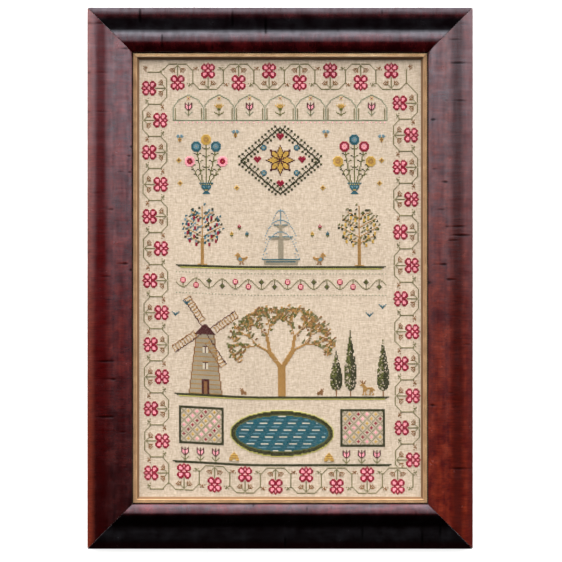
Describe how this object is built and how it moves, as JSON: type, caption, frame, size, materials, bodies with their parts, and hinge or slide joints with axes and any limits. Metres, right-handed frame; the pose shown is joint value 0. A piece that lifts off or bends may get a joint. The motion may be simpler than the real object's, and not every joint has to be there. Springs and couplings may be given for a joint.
{
  "type": "cross stitch sampler with its wooden frame",
  "caption": "Linen sampler in counted cross stitch with a rose meander border, stretched flat in a wide polished wooden frame with a narrow gilt slip.",
  "frame": {"origin": "centre of the frame's footprint, on the plane that its back rests on", "axes": "+X to the right of the picture, +Y to its top, +Z out of its face"},
  "size_m": [0.45, 0.632, 0.0218],
  "materials": {
    "mahogany_veneer": "dark mahogany veneer, french polished",
    "gilt_gesso": "aged gilding over gesso, satin",
    "linen_cloth": "evenweave natural linen",
    "backing_board": "plain grey brown board",
    "thread_crimson": "stranded cotton",
    "thread_pink": "stranded cotton",
    "thread_moss": "stranded cotton",
    "thread_brown": "stranded cotton",
    "thread_dark_green": "stranded cotton",
    "thread_leaf": "stranded cotton",
    "thread_sage": "stranded cotton",
    "thread_lime": "stranded cotton",
    "thread_teal": "stranded cotton",
    "thread_blue": "stranded cotton",
    "thread_tan": "stranded cotton",
    "thread_gold": "stranded cotton",
    "thread_cream": "stranded cotton",
    "thread_stone": "stranded cotton",
    "thread_maroon": "stranded cotton"
  },
  "bodies": {
    "root": {"rail_top": "mahogany_veneer", "rail_bottom": "mahogany_veneer", "rail_left": "mahogany_veneer", "rail_right": "mahogany_veneer", "slip_top": "gilt_gesso", "slip_bottom": "gilt_gesso", "slip_left": "gilt_gesso", "slip_right": "gilt_gesso", "linen": "linen_cloth", "backing_board": "backing_board"}
  },
  "joints": []
}
